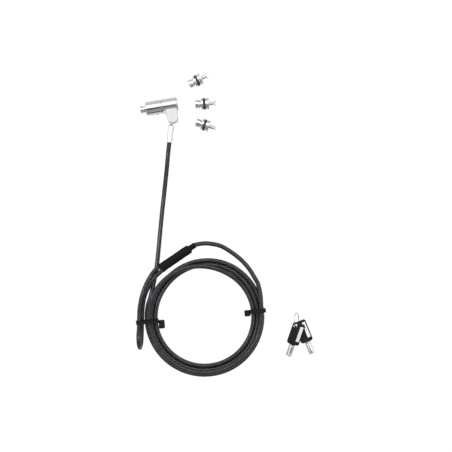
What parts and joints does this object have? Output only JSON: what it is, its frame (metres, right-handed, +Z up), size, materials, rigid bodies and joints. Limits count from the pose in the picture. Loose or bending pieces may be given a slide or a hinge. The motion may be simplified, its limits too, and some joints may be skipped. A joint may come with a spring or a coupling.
{
  "type": "laptop cable lock",
  "caption": "Laptop cable lock laid out flat: swivelling push lock, coiled steel cable with a crimped eye, loose lock tips and tubular keys on a ring.",
  "frame": {"origin": "on the table plane, under the middle of everything but the cable", "axes": "+Z up off the table, +Y from the coil towards the lock head and tips, +X towards the keys"},
  "size_m": [0.2151, 0.3657, 0.0253],
  "materials": {
    "chrome": "polished chrome",
    "satin_zinc": "satin nickel plate on cast zinc",
    "zinc": "plated crimped metal",
    "steel": "bright steel",
    "black_steel": "blackened steel",
    "brass": "machined brass",
    "rubber": "black rubber",
    "nylon": "black nylon",
    "heat_shrink": "matte heat-shrink tubing",
    "coated_cable": "smoke-clear coating over braided steel",
    "black_plastic": "fine-grained moulded plastic",
    "silver_label": "plain satin label"
  },
  "bodies": {
    "cable": {"cable_lead": "coated_cable", "cable_coil": "coated_cable", "cable_arc": "coated_cable", "cable_eye": "coated_cable", "eye_sleeve": "heat_shrink", "eye_crimp": "zinc", "tie_left": "nylon", "tie_right": "nylon", "ferrule": "zinc"},
    "swivel": {"swivel_lug": "satin_zinc"},
    "collar": {"collar_housing": "satin_zinc", "nose_ring": "chrome", "pivot_pin": "steel", "retaining_clip": "steel", "catch_ball_1": "steel", "catch_ball_2": "steel", "catch_ball_3": "steel"},
    "barrel": {"barrel_shell": "chrome", "barrel_screw": "black_steel", "cylinder_spring": "steel"},
    "lock_cylinder": {"lock_cylinder": "chrome", "catch_plunger": "steel"},
    "key_plug": {"key_plug": "brass", "tumbler_pin_1": "steel", "tumbler_pin_2": "steel", "tumbler_pin_3": "steel", "tumbler_pin_4": "steel", "tumbler_pin_5": "steel", "tumbler_pin_6": "steel", "tumbler_pin_7": "steel"},
    "ring": {"key_ring": "steel"},
    "tip_1": {"tip_1_body": "chrome", "tip_1_band": "rubber", "tip_1_flange": "chrome"},
    "tip_1_spindle": {"tip_1_bar": "steel"},
    "tip_2": {"tip_2_body": "chrome", "tip_2_band": "rubber", "tip_2_flange": "chrome"},
    "tip_2_spindle": {"tip_2_bar": "steel"},
    "tip_3": {"tip_3_body": "chrome", "tip_3_band": "rubber", "tip_3_flange": "chrome"},
    "tip_3_spindle": {"tip_3_bar": "steel"},
    "key_1": {"key_1_head": "black_plastic", "key_1_tube": "chrome", "key_1_label": "silver_label"},
    "key_2": {"key_2_head": "black_plastic", "key_2_tube": "chrome", "key_2_label": "silver_label"}
  },
  "joints": [
    {"name": "cable_swivel", "type": "hinge", "parent": "cable", "child": "swivel", "pos_m": [-0.06631, 0.11904, 0.0085], "axis": [-0.1115, -0.9938, 0], "range_deg": [-120, 120]},
    {"name": "cable_pivot", "type": "hinge", "parent": "swivel", "child": "collar", "pos_m": [-0.06631, 0.11904, 0.0085], "axis": [0, 0, 1], "range_deg": [-60.9, 29.1]},
    {"name": "barrel_turn", "type": "hinge", "parent": "collar", "child": "barrel", "pos_m": [-0.09793, 0.12683, 0.0085], "axis": [0.9863, 0.165, 0], "continuous": true},
    {"name": "cylinder_push", "type": "slide", "parent": "barrel", "child": "lock_cylinder", "axis": [0.9863, 0.165, 0], "range_m": [0, 0.004], "stiffness_N_per_m": 300, "springref_m": -0.004},
    {"name": "key_turn", "type": "hinge", "parent": "lock_cylinder", "child": "key_plug", "pos_m": [-0.09793, 0.12683, 0.0085], "axis": [0.9863, 0.165, 0], "range_deg": [0, 90]},
    {"name": "tip_1_lift", "type": "slide", "parent": "cable", "child": "tip_1", "axis": [0, 0, 1], "range_m": [0, 0.05]},
    {"name": "tip_1_turn", "type": "hinge", "parent": "tip_1", "child": "tip_1_spindle", "pos_m": [-0.03543, 0.16203, 0.0072], "axis": [0.891, 0.454, 0], "range_deg": [0, 90]},
    {"name": "tip_2_lift", "type": "slide", "parent": "cable", "child": "tip_2", "axis": [0, 0, 1], "range_m": [0, 0.05]},
    {"name": "tip_2_turn", "type": "hinge", "parent": "tip_2", "child": "tip_2_spindle", "pos_m": [-0.02643, 0.13343, 0.0072], "axis": [0.9981, 0.061, 0], "range_deg": [0, 90]},
    {"name": "tip_3_lift", "type": "slide", "parent": "cable", "child": "tip_3", "axis": [0, 0, 1], "range_m": [0, 0.05]},
    {"name": "tip_3_turn", "type": "hinge", "parent": "tip_3", "child": "tip_3_spindle", "pos_m": [-0.02603, 0.10743, 0.0072], "axis": [0.9563, -0.2924, 0], "range_deg": [0, 90]},
    {"name": "key_ring_lift", "type": "slide", "parent": "cable", "child": "ring", "axis": [0, 0, 1], "range_m": [0, 0.05]},
    {"name": "key_1_swing", "type": "hinge", "parent": "ring", "child": "key_1", "pos_m": [0.08132, -0.13271, 0.0119], "axis": [-0.0669, -0.2058, 0.9763], "range_deg": [-35, 0]},
    {"name": "key_2_swing", "type": "hinge", "parent": "ring", "child": "key_2", "pos_m": [0.08398, -0.13276, 0.00536], "axis": [0.0163, -0.0404, 0.999], "range_deg": [0, 60]}
  ]
}
